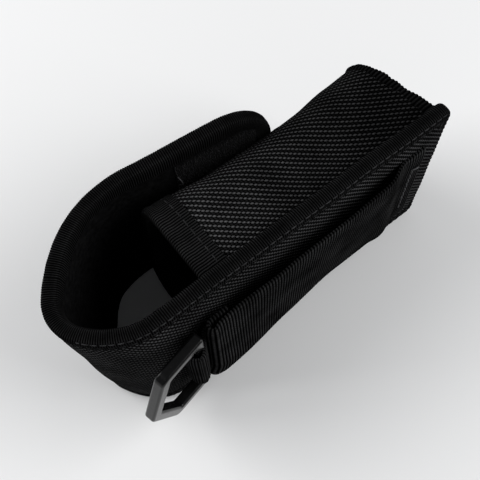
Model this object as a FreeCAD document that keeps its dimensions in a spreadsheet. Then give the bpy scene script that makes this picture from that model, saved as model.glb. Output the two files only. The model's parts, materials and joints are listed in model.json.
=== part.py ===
import FreeCAD, Part

import math
import os

# A belt holster for a small flashlight, in black nylon, standing on its long side edge.
# +X runs along the pocket from its mouth to its closed end, +Y from the back panel to the
# pocket's front, +Z up across the width. The back panel runs on past the mouth, bends round
# it as the flap and comes back over the pocket's front. Layers are built in a frame whose
# X = 0 is the mouth line and Y = 0 the panel's outer face; every piece is then moved together,
# so that the origin is the middle of the bottom of the whole object.

doc = FreeCAD.newDocument("flashlight_holster")
sheet = doc.addObject("Spreadsheet::Sheet", "sizes")

# Driving dimensions: alias, value in mm or degrees, what it is.
dimensions = [
    ("bodyWidth", 58.0, "overall width, which is the height as it stands"),
    ("panelLength", 73.2, "mouth line to the panel's closed end"),
    ("panelReach", 13.4, "straight panel past the mouth line, up to the bend"),
    ("coverThickness", 0.8, "outer woven nylon"),
    ("coreThickness", 1.6, "foam and stiffener"),
    ("liningThickness", 0.8, "inner lining"),
    ("bindingThickness", 0.4, "edge tape"),
    ("bindingDepth", 5.0, "how far the edge tape reaches over the outer face"),
    ("bindingInside", 4.0, "how far the edge tape reaches over the inner face"),
    ("edgeMargin", 0.6, "edge tape beyond the laminate's cut edge"),
    ("panelCorner", 4.5, "corner radius at the panel's end"),
    ("nearRadius", 18.7, "outer radius of the bend next to the panel"),
    ("nearAngle", 58.9, "turn of that arc"),
    ("tipRadius", 11.2, "outer radius at the bend's far point"),
    ("tipAngle", 63.7, "turn of that arc"),
    ("farRadius", 33.8, "outer radius of the bend that leads to the pocket's front"),
    ("farAngle", 64.9, "turn of that arc"),
    ("flapLength", 38.2, "straight end of the flap, over the pocket's front"),
    ("flapCorner", 14.0, "corner radius of the flap's end"),
    ("shoulderFold", 10.0, "arc length from the panel to the first fold line"),
    ("crownFold", 26.0, "arc length to the second fold line"),
    ("coverFold", 48.0, "arc length to the third fold line"),
    ("foldGap", 0.4, "gap between the flap's stretches at a fold line"),
    ("pocketMouth", 2.0, "mouth line to the pocket's own edge"),
    ("pocketEndGap", 0.4, "pocket's end panel to the tape at the panel's end"),
    ("pocketSideGap", 0.75, "pocket's side to the tape along the panel's edge"),
    ("flapClearance", 0.3, "flap's end to the loop patch when the flap is closed"),
    ("pocketCorner", 9.0, "outside corner radius of the pocket's front"),
    ("shellThickness", 0.9, "pocket's woven nylon"),
    ("foamThickness", 1.3, "pocket's foam"),
    ("pocketLiningThickness", 0.5, "pocket's lining"),
    ("endThickness", 2.2, "sewn end panel of the pocket"),
    ("endTapeDepth", 4.0, "seam tape round the end panel"),
    ("mouthTapeDepth", 7.5, "tape round the mouth, along the pocket"),
    ("tapeThickness", 0.5, "tape round the mouth and the end seam"),
    ("patchThickness", 0.5, "hook patch and loop patch"),
    ("loopPatchWidth", 34.0, "loop patch, across the width"),
    ("hookPatchWidth", 40.0, "hook patch, across the width"),
    ("loopPatchLength", 30.0, "loop patch, along the pocket"),
    ("loopPatchStart", 12.0, "mouth line to the loop patch"),
    ("hookPatchLength", 25.0, "hook patch, along the flap"),
    ("hookPatchInset", 6.5, "flap's end to the hook patch"),
    ("strapWidth", 38.0, "belt-loop webbing"),
    ("strapThickness", 1.5, "belt-loop webbing"),
    ("strapStart", 3.5, "folded end of the strap, past the mouth line"),
    ("strapInset", 7.2, "panel's end to the strap's sewn end"),
    ("strapSewn", 8.0, "length of the strap sewn down at its far end"),
    ("strapFoot", 7.0, "length of the strap folded under at its near end"),
    ("beltGap", 4.8, "free space between panel and strap"),
    ("rampRatio", 1.6, "strap's ramp down to the panel, length over height"),
    ("stitchLine", 3.0, "strap's end to its stitch line"),
    ("stitchLength", 22.0, "stitch line at the strap's end"),
    ("stitchStep", 2.2, "one stitch to the next"),
    ("stitchBar", 1.6, "thread showing in one stitch"),
    ("threadWidth", 0.35, "width of one stitch"),
    ("threadRise", 0.25, "height of one stitch above the webbing"),
    ("tabWidth", 25.0, "ring tab webbing"),
    ("tabThickness", 1.1, "ring tab webbing"),
    ("tabFoot", 6.5, "length of the tab under the strap"),
    ("tabThroat", 0.2, "where the tab's two layers part, past the strap's fold"),
    ("tabPinch", 0.6, "where the tab's inner faces meet, before that place"),
    ("barRadius", 1.5, "ring's bar, half the ring's thickness"),
    ("barClearance", 0.12, "ring bar's corners in the tab's loop"),
    ("tabGap", 0.55, "tab's loop to the strap's fold"),
    ("barRise", 1.55, "tab's loop to the panel's face"),
    ("ringWidth", 37.5, "outside width of the ring"),
    ("ringArm", 11.9, "bar to the ring's corner"),
    ("ringReach", 18.6, "bar to the ring's tip"),
    ("ringSection", 3.2, "width of the ring's arms"),
    ("ringCorner", 3.0, "rounding of the ring's outer corners"),
    ("ringTilt", 12.0, "ring's lean away from the panel"),
    ("ringEdge", 0.7, "rounding of the ring's edges"),
]
for row, (alias, value, note) in enumerate(dimensions, start=1):
    sheet.set(f"A{row}", note)
    sheet.set(f"B{row}", str(value))
    sheet.setAlias(f"B{row}", alias)
doc.recompute()
size = {alias: float(sheet.get(alias)) for alias, value, note in dimensions}

laminate = size["coverThickness"] + size["coreThickness"] + size["liningThickness"]
coverLayer = (0.0, size["coverThickness"])
coreLayer = (size["coverThickness"], size["coverThickness"] + size["coreThickness"])
liningLayer = (coreLayer[1], laminate)
smallestCorner = 1.0  # least corner radius of the tape's inner outline
edgeLow = size["edgeMargin"]
edgeHigh = size["bodyWidth"] - size["edgeMargin"]
midWidth = size["bodyWidth"] / 2


# The path: the outer face of panel and flap seen from above, as straight and round pieces.
# A piece is (kind, length, start point, heading) or (kind, length, centre, start angle, radius).
def makePath():
    pieces = []
    reach = size["panelLength"] + size["panelReach"]
    pieces.append(("line", reach, (size["panelLength"], 0.0), 180.0))
    point = (-size["panelReach"], 0.0)
    turned = 0.0
    for name in ("near", "tip", "far"):
        radius = size[name + "Radius"]
        angle = size[name + "Angle"]
        start = math.radians(-90.0 - turned)
        centre = (point[0] - radius * math.cos(start), point[1] - radius * math.sin(start))
        pieces.append(("arc", radius * math.radians(angle), centre, -90.0 - turned, radius))
        turned += angle
        finish = math.radians(-90.0 - turned)
        point = (centre[0] + radius * math.cos(finish), centre[1] + radius * math.sin(finish))
    pieces.append(("line", size["flapLength"], point, 180.0 - turned))
    return pieces


path = makePath()
pathLength = sum(piece[1] for piece in path)
bendStart = path[0][1]
foldStations = [bendStart + size[name] for name in ("shoulderFold", "crownFold", "coverFold")]


def pathPoint(piece, along, depth):
    """Point on one piece, 'along' from its start and 'depth' inside the outer face."""
    if piece[0] == "line":
        heading = math.radians(piece[3])
        inward = heading - math.pi / 2
        x = piece[2][0] + along * math.cos(heading) + depth * math.cos(inward)
        y = piece[2][1] + along * math.sin(heading) + depth * math.sin(inward)
        return FreeCAD.Vector(x, y, 0)
    angle = math.radians(piece[3]) - along / piece[4]
    reach = piece[4] - depth
    return FreeCAD.Vector(piece[2][0] + reach * math.cos(angle), piece[2][1] + reach * math.sin(angle), 0)


def stationPoint(station, depth):
    """Point at a distance along the whole path."""
    done = 0.0
    for piece in path:
        if station <= done + piece[1]:
            return pathPoint(piece, station - done, depth)
        done += piece[1]
    return pathPoint(path[-1], path[-1][1], depth)


def bandOutline(start, finish, depths):
    """Closed outline of a layer between two stations and two depths."""
    sides = []
    for depth in depths:
        side = []
        done = 0.0
        for piece in path:
            low = max(start - done, 0.0)
            high = min(finish - done, piece[1])
            if high - low > 1e-6:
                a = pathPoint(piece, low, depth)
                b = pathPoint(piece, high, depth)
                if piece[0] == "line":
                    side.append(Part.LineSegment(a, b))
                else:
                    side.append(Part.Arc(a, pathPoint(piece, (low + high) / 2, depth), b))
            done += piece[1]
        sides.append(side)
    caps = []
    for station, end in ((start, 0), (finish, 1)):
        first = sideEnd(sides[0], end)
        second = sideEnd(sides[1], end)
        caps.append(Part.LineSegment(first, second))
    return sides[0] + [caps[1]] + sides[1][::-1] + [caps[0]]


def sideEnd(side, end):
    if end == 0:
        return side[0].StartPoint if isinstance(side[0], Part.LineSegment) else arcEnds(side[0])[0]
    return side[-1].EndPoint if isinstance(side[-1], Part.LineSegment) else arcEnds(side[-1])[1]


def arcEnds(arc):
    edge = arc.toShape()
    return edge.valueAt(edge.FirstParameter), edge.valueAt(edge.LastParameter)


nodes = []


def register(thing, name):
    thing.Label = name
    nodes.append(thing)
    return thing


def roundEdges(body, base, name, wanted, radius):
    """Fillet on the edges that a test picks out; the radius is an expression."""
    edges = [f"Edge{i + 1}" for i, edge in enumerate(base.Shape.Edges) if wanted(edge)]
    fillet = body.newObject("PartDesign::Fillet", name)
    fillet.Base = (base, edges)
    fillet.setExpression("Radius", radius)
    doc.recompute()
    return fillet


def padBody(name, outline, low, length, rounds=()):
    """Body with one sketch on its XY plane, padded upwards; rounds are (edge test, size) pairs."""
    body = doc.addObject("PartDesign::Body", name)
    sketch = body.newObject("Sketcher::SketchObject", name + "_outline")
    plane = [f for f in body.Origin.OriginFeatures if f.Role == "XY_Plane"][0]
    sketch.AttachmentSupport = [(plane, "")]
    sketch.MapMode = "FlatFace"
    sketch.setExpression("AttachmentOffset.Base.z", low)
    sketch.addGeometry(outline, False)
    pad = body.newObject("PartDesign::Pad", name + "_pad")
    pad.Profile = sketch
    pad.setExpression("Length", length)
    doc.recompute()
    base = pad
    for number, (wanted, radius) in enumerate(rounds):
        base = roundEdges(body, base, f"{name}_round{number}", wanted, radius)
    return register(body, name)


def shapeNode(name, shape):
    thing = doc.addObject("Part::Feature", name)
    thing.Shape = shape
    return register(thing, name)


def endEdges(station):
    """Test for the edges that run through the laminate's thickness at one end of the path."""
    outside = stationPoint(station, 0.0)
    through = stationPoint(station, 1.0) - outside

    def wanted(edge):
        ends = [vertex.Point for vertex in edge.Vertexes]
        if len(ends) != 2 or abs(ends[0].z - ends[1].z) > 1e-6:
            return False
        offsets = [abs((end.x - outside.x) * through.y - (end.y - outside.y) * through.x) for end in ends]
        return max(offsets) < 1e-4
    return wanted


def prism(outline, low, high):
    face = Part.Face(Part.Wire([piece.toShape() for piece in outline]))
    return face.extrude(FreeCAD.Vector(0, 0, high - low)).translated(FreeCAD.Vector(0, 0, low))


def endShape(station, before, radius, low, high):
    """Slab that keeps everything behind a rounded end, seen square on to the laminate."""
    tip = stationPoint(station, 0.0)
    ahead = tip - stationPoint(before, 0.0)
    ahead.normalize()
    normal = FreeCAD.Vector(-ahead.y, ahead.x, 0)
    middle = radius - radius * math.sqrt(0.5)
    behind = 2 * size["panelLength"]  # past the other end of any stretch
    beside = size["bodyWidth"]

    def spot(back, height):
        return tip - ahead * back - normal * beside + FreeCAD.Vector(0, 0, height)
    edges = [
        Part.LineSegment(spot(behind, low), spot(radius, low)),
        Part.Arc(spot(radius, low), spot(middle, low + middle), spot(0, low + radius)),
        Part.LineSegment(spot(0, low + radius), spot(0, high - radius)),
        Part.Arc(spot(0, high - radius), spot(middle, high - middle), spot(radius, high)),
        Part.LineSegment(spot(radius, high), spot(behind, high)),
        Part.LineSegment(spot(behind, high), spot(behind, low)),
    ]
    face = Part.Face(Part.Wire([edge.toShape() for edge in edges]))
    return face.extrude(normal * 2 * beside)


def bindingShape(start, finish, roundStation=None, before=None, corner=0.0):
    """Edge tape: a band round the laminate's edges, with the laminate and both faces cut out."""
    tape = size["bindingThickness"]
    deep = size["bindingDepth"]
    full = size["bodyWidth"]
    outer = prism(bandOutline(start, finish, (-tape, laminate + tape)), 0.0, full)
    inner = prism(bandOutline(start, finish, (0.0, laminate)), edgeLow, edgeHigh)
    within = size["bindingInside"]
    middle = laminate / 2
    outside = prism(bandOutline(start, finish, (-2 * tape, middle)), deep, full - deep)
    inside = prism(bandOutline(start, finish, (middle, laminate + 2 * tape)), within, full - within)
    if roundStation is not None:
        inward = (before - roundStation) / abs(before - roundStation)
        margin = size["edgeMargin"]
        outerCorner = corner + margin

        def roundedEnd(shape, inset, radius):
            place = roundStation + inward * inset
            return shape.common(endShape(place, before, max(radius, smallestCorner), inset, full - inset))
        outer = roundedEnd(outer, 0.0, outerCorner)
        inner = roundedEnd(inner, margin, corner)
        outside = roundedEnd(outside, deep, outerCorner - deep)
        inside = roundedEnd(inside, within, outerCorner - within)
    return outer.cut(inner).cut(outside).cut(inside)


def layers(prefix, names, start, finish, rounded=None):
    """The three sheets of the laminate over one stretch of the path."""
    spans = (coverLayer, coreLayer, liningLayer)
    for name, span in zip(names, spans):
        rounds = [] if rounded is None else [(endEdges(rounded[0]), rounded[1])]
        padBody(prefix + name, bandOutline(start, finish, span), "sizes.edgeMargin",
                "sizes.bodyWidth - 2 * sizes.edgeMargin", rounds)


half = size["foldGap"] / 2
margin = size["edgeMargin"]

# Back panel, with the first part of the bend.
layers("panel_", ("cover", "core", "lining"), margin, foldStations[0] - half, (margin, "sizes.panelCorner"))
shapeNode("panel_binding", bindingShape(0.0, foldStations[0] - half, 0.0, 10.0, size["panelCorner"]))

# Flap, in three stretches between its fold lines.
stretches = (("shoulder_", foldStations[0], foldStations[1]), ("crown_", foldStations[1], foldStations[2]))
for prefix, start, finish in stretches:
    layers(prefix, ("cover", "core", "lining"), start + half, finish - half)
    shapeNode(prefix + "binding", bindingShape(start + half, finish - half))
layers("flap_", ("cover", "core", "lining"), foldStations[2] + half, pathLength - margin,
       (pathLength - margin, "sizes.flapCorner"))
shapeNode("flap_binding", bindingShape(foldStations[2] + half, pathLength, pathLength, pathLength - 10.0,
                                       size["flapCorner"]))


def alongFlap(back, depth, height):
    point = stationPoint(pathLength - back, depth)
    return FreeCAD.Vector(point.x, point.y, height)


hookStart = size["hookPatchInset"]
hookFinish = hookStart + size["hookPatchLength"]
hookOutline = [alongFlap(hookStart, laminate, 0), alongFlap(hookFinish, laminate, 0),
               alongFlap(hookFinish, laminate + size["patchThickness"], 0),
               alongFlap(hookStart, laminate + size["patchThickness"], 0)]


def polygon(points):
    return [Part.LineSegment(a, b) for a, b in zip(points, points[1:] + points[:1])]


def vectors(pairs):
    return [FreeCAD.Vector(x, y, 0) for x, y in pairs]


padBody("hook_patch", polygon(hookOutline), "(sizes.bodyWidth - sizes.hookPatchWidth) / 2",
        "sizes.hookPatchWidth")


# Pocket: a sleeve of three sheets, open towards the mouth, closed by the panel behind it.
pocketBack = laminate
flapInside = stationPoint(pathLength, laminate + size["bindingThickness"]).y
pocketFront = flapInside - size["flapClearance"] - size["patchThickness"]
pocketLow = size["bindingInside"] + size["pocketSideGap"]
pocketHigh = size["bodyWidth"] - pocketLow


def sleeveWire(x, inset, back):
    """Section of the sleeve in the YZ plane, 'inset' inside its outer face."""
    radius = max(size["pocketCorner"] - inset, 0.5)
    low = pocketLow + inset
    high = pocketHigh - inset
    front = pocketFront - inset
    bow = radius * (1 - math.sqrt(0.5))

    def spot(y, z):
        return FreeCAD.Vector(x, y, z)
    edges = [
        Part.LineSegment(spot(back, low), spot(front - radius, low)),
        Part.Arc(spot(front - radius, low), spot(front - bow, low + bow), spot(front, low + radius)),
        Part.LineSegment(spot(front, low + radius), spot(front, high - radius)),
        Part.Arc(spot(front, high - radius), spot(front - bow, high - bow), spot(front - radius, high)),
        Part.LineSegment(spot(front - radius, high), spot(back, high)),
        Part.LineSegment(spot(back, high), spot(back, low)),
    ]
    return Part.Wire([edge.toShape() for edge in edges])


def sleeve(start, length, outside, inside):
    """Sleeve wall between two insets; its back is open onto the panel."""
    along = FreeCAD.Vector(length, 0, 0)
    outer = Part.Face(sleeveWire(start, outside, pocketBack)).extrude(along)
    inner = Part.Face(sleeveWire(start - 1, inside, pocketBack - 1)).extrude(along + FreeCAD.Vector(2, 0, 0))
    return outer.cut(inner)


pocketStart = size["pocketMouth"]
pocketEnd = size["panelLength"] - size["bindingInside"] - size["pocketEndGap"] - size["endThickness"]
foamInset = size["shellThickness"]
pocketLiningInset = foamInset + size["foamThickness"]
pocketInside = pocketLiningInset + size["pocketLiningThickness"]
tape = size["tapeThickness"]
cut = size["edgeMargin"]
wallLength = pocketEnd - pocketStart - cut
shapeNode("pocket_shell", sleeve(pocketStart + cut, wallLength, 0.0, foamInset))
shapeNode("pocket_foam", sleeve(pocketStart + cut, wallLength, foamInset, pocketLiningInset))
shapeNode("pocket_lining", sleeve(pocketStart + cut, wallLength, pocketLiningInset, pocketInside))
endPlate = Part.Face(sleeveWire(pocketEnd, 0.0, pocketBack))
shapeNode("pocket_end", endPlate.extrude(FreeCAD.Vector(size["endThickness"], 0, 0)))
seamStart = pocketEnd + size["endThickness"] - size["endTapeDepth"]
shapeNode("end_seam_tape", sleeve(seamStart, size["endTapeDepth"], -tape, 0.0))
mouthOuter = sleeve(pocketStart, size["mouthTapeDepth"], -tape, pocketInside + tape)
mouthWall = sleeve(pocketStart + cut, size["mouthTapeDepth"], 0.0, pocketInside)
shapeNode("mouth_binding", mouthOuter.cut(mouthWall))

loopStart = size["loopPatchStart"]
loopFinish = loopStart + size["loopPatchLength"]
loopBack = pocketFront
loopFront = pocketFront + size["patchThickness"]
padBody("loop_patch", polygon(vectors([(loopStart, loopBack), (loopFinish, loopBack),
                                       (loopFinish, loopFront), (loopStart, loopFront)])),
        "(sizes.bodyWidth - sizes.loopPatchWidth) / 2", "sizes.loopPatchWidth")

# Belt strap: folded under at its near end, standing off the panel, sewn flat at its far end.
web = size["strapThickness"]
tabLayers = 2 * size["tabThickness"]
gap = size["beltGap"]
near = -size["strapStart"]
footEnd = near + size["strapFoot"]
strapEnd = size["panelLength"] - size["strapInset"]
sewnStart = strapEnd - size["strapSewn"]
rampStart = sewnStart - size["rampRatio"] * gap
strapPoints = vectors([
    (footEnd, -tabLayers), (near + web, -tabLayers), (near, -tabLayers - web), (near, -gap),
    (near + web, -gap - web), (rampStart, -gap - web), (sewnStart, -web), (strapEnd, -web),
    (strapEnd, 0), (sewnStart - web, 0), (rampStart - 0.3 * web, -gap), (near + 1.5 * web, -gap),
    (near + 1.5 * web, -tabLayers - web), (footEnd, -tabLayers - web)])
padBody("belt_strap", polygon(strapPoints), "(sizes.bodyWidth - sizes.strapWidth) / 2", "sizes.strapWidth")

# Ring tab: webbing folded round the ring's bar, its two ends flat under the strap's foot.
barCorner = (size["barRadius"] - size["ringEdge"]) * math.sqrt(2) + size["ringEdge"]
loopInner = barCorner + size["barClearance"]
loopOuter = loopInner + size["tabThickness"]
bar = FreeCAD.Vector(near - loopOuter - size["tabGap"], -loopOuter - size["barRise"], 0)
tabEnd = near + size["tabFoot"]


def tangentPoint(target, radius, side):
    """Point where a line from the target touches a circle round the bar."""
    away = target - bar
    spread = math.acos(radius / away.Length)
    angle = math.atan2(away.y, away.x) + side * spread
    return bar + FreeCAD.Vector(radius * math.cos(angle), radius * math.sin(angle), 0)


def loopOutline(radius, upperTarget, lowerTarget):
    upper = tangentPoint(upperTarget, radius, -1)
    lower = tangentPoint(lowerTarget, radius, 1)
    round_ = Part.Arc(upper, bar + FreeCAD.Vector(-radius, 0, 0), lower)
    return upper, lower, round_


throat = near + size["tabThroat"]
outerUpper, outerLower, outerArc = loopOutline(loopOuter, FreeCAD.Vector(throat, -tabLayers, 0),
                                               FreeCAD.Vector(throat, 0, 0))
innerTarget = FreeCAD.Vector(throat - size["tabPinch"], -tabLayers / 2, 0)
innerUpper, innerLower, innerArc = loopOutline(loopInner, innerTarget, innerTarget)
tabOutline = [
    outerArc,
    Part.LineSegment(outerLower, FreeCAD.Vector(throat, 0, 0)),
    Part.LineSegment(FreeCAD.Vector(throat, 0, 0), FreeCAD.Vector(tabEnd, 0, 0)),
    Part.LineSegment(FreeCAD.Vector(tabEnd, 0, 0), FreeCAD.Vector(tabEnd, -tabLayers, 0)),
    Part.LineSegment(FreeCAD.Vector(tabEnd, -tabLayers, 0), FreeCAD.Vector(throat, -tabLayers, 0)),
    Part.LineSegment(FreeCAD.Vector(throat, -tabLayers, 0), outerUpper),
    innerArc,
    Part.LineSegment(innerLower, innerTarget),
    Part.LineSegment(innerTarget, innerUpper),
]
padBody("ring_tab", tabOutline, "(sizes.bodyWidth - sizes.tabWidth) / 2", "sizes.tabWidth")


# Stitching: short thread lengths lying on the webbing.
def stitchRow(x, low, count):
    """Upright row of flat thread bars on the webbing."""
    wide, rise, long = size["threadWidth"], size["threadRise"], size["stitchBar"]
    corner = FreeCAD.Vector(x - wide / 2, -web - rise, low)
    step = FreeCAD.Vector(0, 0, size["stitchStep"])
    return [Part.makeBox(wide, rise, long, corner + step * number) for number in range(count)]


stitchCount = int(size["stitchLength"] / size["stitchStep"])
lowest = midWidth - (size["stitchLength"] - size["stitchStep"] + size["stitchBar"]) / 2
stitches = stitchRow(strapEnd - size["stitchLine"], lowest, stitchCount)
shapeNode("strap_stitching", Part.makeCompound(stitches))


# D-ring: a straight bar, two arms and a pointed nose, cut from one flat section.
def ringBody():
    body = doc.addObject("PartDesign::Body", "d_ring")
    sketch = body.newObject("Sketcher::SketchObject", "d_ring_outline")
    plane = [f for f in body.Origin.OriginFeatures if f.Role == "XZ_Plane"][0]
    sketch.AttachmentSupport = [(plane, "")]
    sketch.MapMode = "FlatFace"
    top = size["ringWidth"] / 2
    arm = size["ringArm"]
    tip = size["ringReach"]
    wide = size["ringSection"]
    thick = size["barRadius"]
    slope = math.atan2(top, tip - arm)
    innerTip = tip - wide / math.sin(slope)
    innerTop = top - wide
    innerArm = innerTip - (tip - arm) * innerTop / top
    outer = [(thick, top), (-arm, top), (-tip, 0), (-arm, -top), (thick, -top)]
    inner = [(-thick, innerTop), (-innerArm, innerTop), (-innerTip, 0), (-innerArm, -innerTop),
             (-thick, -innerTop)]
    for loop in (outer, inner):
        points = vectors(loop)
        sketch.addGeometry(polygon(points), False)
    pad = body.newObject("PartDesign::Pad", "d_ring_pad")
    pad.Profile = sketch
    pad.Midplane = True
    pad.setExpression("Length", "2 * sizes.barRadius")
    doc.recompute()

    def corner(edge):
        first, last = edge.Vertexes[0].Point, edge.Vertexes[-1].Point
        across = abs(first.y - last.y) > thick
        outside = abs(first.z) > (top + innerTop) / 2 or first.x < -(tip + innerTip) / 2
        return across and outside and first.x < -2 * thick
    cornered = roundEdges(body, pad, "d_ring_corners", corner, "sizes.ringCorner")
    roundEdges(body, cornered, "d_ring_edges", lambda edge: True, "sizes.ringEdge")
    register(body, "d_ring")
    turn = FreeCAD.Rotation(FreeCAD.Vector(0, 0, 1), size["ringTilt"])
    body.Placement = FreeCAD.Placement(FreeCAD.Vector(bar.x, bar.y, midWidth), turn)
    return body


ringBody()
doc.recompute()

# Origin: the middle of the bottom of everything.
whole = Part.makeCompound([thing.Shape for thing in nodes]).BoundBox
shift = FreeCAD.Vector(-(whole.XMin + whole.XMax) / 2, -(whole.YMin + whole.YMax) / 2, -whole.ZMin)
for thing in nodes:
    thing.Placement.Base = thing.Placement.Base + shift
doc.recompute()

for thing in doc.Objects:
    if "Invalid" in thing.State or "Error" in thing.State:
        raise RuntimeError(f"{thing.Name} failed: {thing.State}")
for thing in nodes:
    if thing.Shape.isNull() or not thing.Shape.isValid():
        raise RuntimeError(f"{thing.Label} has no valid shape")

os.makedirs("parts", exist_ok=True)
for thing in nodes:
    thing.Shape.exportStep(f"parts/{thing.Label}.step")
    print(thing.Label, round(thing.Shape.Volume, 1), len(thing.Shape.Solids))
print("moved by", [round(value, 3) for value in shift])
print("box", [round(v, 2) for v in (whole.XLength, whole.YLength, whole.ZLength)])
for name, station in zip(("shoulder", "crown", "cover"), foldStations):
    place = stationPoint(station, -size["bindingThickness"] - 0.1) + shift
    print("fold axis", name, round(place.x, 3), round(place.y, 3))
print("ring axis", round(bar.x + shift.x, 3), round(bar.y + shift.y, 3))
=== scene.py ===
import json
import math
import random
import bmesh
import bpy
import numpy as np
from mathutils import Matrix, Vector, noise


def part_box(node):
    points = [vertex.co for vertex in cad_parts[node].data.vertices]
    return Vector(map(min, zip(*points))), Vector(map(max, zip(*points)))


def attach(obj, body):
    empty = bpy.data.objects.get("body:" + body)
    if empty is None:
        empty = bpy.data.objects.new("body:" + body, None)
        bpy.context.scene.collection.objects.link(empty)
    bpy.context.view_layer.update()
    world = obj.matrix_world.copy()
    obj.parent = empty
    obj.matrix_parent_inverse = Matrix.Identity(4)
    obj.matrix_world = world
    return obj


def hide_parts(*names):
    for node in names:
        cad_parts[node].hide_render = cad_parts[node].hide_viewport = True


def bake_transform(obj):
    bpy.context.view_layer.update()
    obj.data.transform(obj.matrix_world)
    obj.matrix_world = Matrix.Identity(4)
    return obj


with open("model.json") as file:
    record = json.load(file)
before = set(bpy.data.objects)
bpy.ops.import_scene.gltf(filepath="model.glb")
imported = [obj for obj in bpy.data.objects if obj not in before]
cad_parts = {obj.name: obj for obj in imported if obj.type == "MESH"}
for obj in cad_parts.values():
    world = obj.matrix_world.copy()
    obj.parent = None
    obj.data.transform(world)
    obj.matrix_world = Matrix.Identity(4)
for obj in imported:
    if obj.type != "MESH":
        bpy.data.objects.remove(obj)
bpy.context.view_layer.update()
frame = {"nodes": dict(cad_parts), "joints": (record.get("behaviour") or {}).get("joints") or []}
mm = 0.001
creaseAngle = math.radians(62.0)  # creases sharper than this shade as edges
coolTint = (1.0, 1.0, 1.02)  # the blacks lean a little to blue

# Sizes of the sewn laminate and its path, in mm, the same as the frame's.
laminate = {"width": 58.0, "thick": 3.2, "cover": 1.7, "tape": 0.38, "outside": 3.5, "inside": 4.2,
            "margin": 1.6, "panelEnd": 73.2, "reach": 13.4, "panelCorner": 2.8, "flapCorner": 14.5,
            "arcs": ((18.7, 58.9), (11.2, 63.7), (33.8, 64.9)), "leg": 38.2, "folds": (10.0, 26.0, 48.0)}
width = laminate["width"]
thick = laminate["thick"]
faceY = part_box("panel_cover")[0].y / mm
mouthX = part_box("panel_binding")[1].x / mm - laminate["panelEnd"]


# The path is the outer face seen from above: straight panel, three arcs round the mouth, straight flap.
def makePath():
    point, heading = Vector((laminate["panelEnd"] + mouthX, faceY)), math.pi
    parts = [("line", laminate["panelEnd"] + laminate["reach"], point.copy(), heading)]
    point = Vector((mouthX - laminate["reach"], faceY))
    for radius, angle in laminate["arcs"]:
        turn = math.radians(angle)
        centre = point + radius * Vector((math.sin(heading), -math.cos(heading)))
        parts.append(("arc", radius * turn, centre, heading, radius))
        heading -= turn
        point = centre - radius * Vector((math.sin(heading), -math.cos(heading)))
    parts.append(("line", laminate["leg"], point, heading))
    return parts


path = makePath()
pathLength = sum(part[1] for part in path)
bendStart = path[0][1]
folds = [bendStart + fold for fold in laminate["folds"]]
joins = [(folds[0] + folds[1]) / 2, (folds[1] + folds[2]) / 2]  # where one stretch of sheet meets the next


def pathFrame(s):
    done = 0.0
    for index, part in enumerate(path):
        if s <= done + part[1] or index == len(path) - 1:
            along = s - done
            heading = part[3] - (along / part[4] if part[0] == "arc" else 0.0)
            inward = Vector((math.sin(heading), -math.cos(heading)))
            if part[0] == "line":
                return part[2] + along * Vector((math.cos(heading), math.sin(heading))), inward
            return part[2] - part[4] * inward, inward
        done += part[1]


def smooth(low, high, value):
    t = min(max((value - low) / (high - low), 0.0), 1.0)
    return t * t * (3 - 2 * t)


def softNoise(x, y, scale, seed):
    return noise.noise(Vector((x / scale, y / scale, seed)))


# The wrapped flap's lower edge is pushed along and across. The runs are lengths from the start of the bend.
bend = {"along": 4.3, "alongRun": (-6, 20, 36, 60), "across": -1.7, "acrossRun": (-24, -2, 30, 54),
        "pull": 0.6, "pullRun": (-2, 14), "wave": 0.35, "waveScale": 17.0}


# Rises from 0 to 1 between the run's first two lengths, and falls back between its last two.
def bendShare(s, run):
    rise, full, fall, gone = (bendStart + offset for offset in run)
    return smooth(rise, full, s) * (1 - smooth(fall, gone, s))


# A point on the laminate: s along the path, z across its width, depth in from the outer face.
def sheetPoint(s, z, depth):
    spot, inward = pathFrame(s)
    low = 1.0 - z / width
    push = Vector((bend["along"] * bendShare(s, bend["alongRun"]), bend["across"] * bendShare(s, bend["acrossRun"])))
    depth += bend["wave"] * softNoise(s, z, bend["waveScale"], 3.1)
    depth += bend["pull"] * smooth(*(bendStart + offset for offset in bend["pullRun"]), s)
    spot = spot + depth * inward + push * low
    return (spot.x, spot.y, z)


# Distance of the cut edge in from the full width, at the rounded ends of panel and flap.
def cornerInset(s):
    for fromEnd, radius in ((s, laminate["panelCorner"]), (pathLength - s, laminate["flapCorner"])):
        if fromEnd < radius:
            return radius - math.sqrt(max(radius ** 2 - (radius - fromEnd) ** 2, 0.0))
    return 0.0


def meshPiece(name, points, faces, uvs, material):
    mesh = bpy.data.meshes.new(name)
    mesh.from_pydata((np.asarray(points, float) * mm).tolist(), [], faces)
    layer = mesh.uv_layers.new(name="cloth")
    order = np.zeros(len(mesh.loops), np.int32)
    mesh.loops.foreach_get("vertex_index", order)
    layer.data.foreach_set("uv", np.asarray(uvs, np.float32)[order].ravel())
    mesh.polygons.foreach_set("use_smooth", [True] * len(mesh.polygons))
    mesh.materials.append(material)
    skin = bmesh.new()
    skin.from_mesh(mesh)
    bmesh.ops.recalc_face_normals(skin, faces=skin.faces)
    skin.to_mesh(mesh)
    skin.free()
    mesh.set_sharp_from_angle(angle=creaseAngle)
    mesh.update()
    piece = bpy.data.objects.new(name, mesh)
    bpy.context.scene.collection.objects.link(piece)
    return piece


# Rings of points joined into a closed skin: every ring is a closed loop, and both ends are capped.
def loftFaces(count, ring, start=0):
    faces = []
    for i in range(count - 1):
        a, b = start + i * ring, start + (i + 1) * ring
        for j in range(ring):
            k = (j + 1) % ring
            faces.append((a + j, a + k, b + k, b + j))
    last = start + (count - 1) * ring
    for j in range(ring // 2 - 1):
        faces.append((start + j + 1, start + j, start + ring - 1 - j, start + ring - 2 - j))
        faces.append((last + j, last + j + 1, last + ring - 2 - j, last + ring - 1 - j))
    return faces


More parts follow.
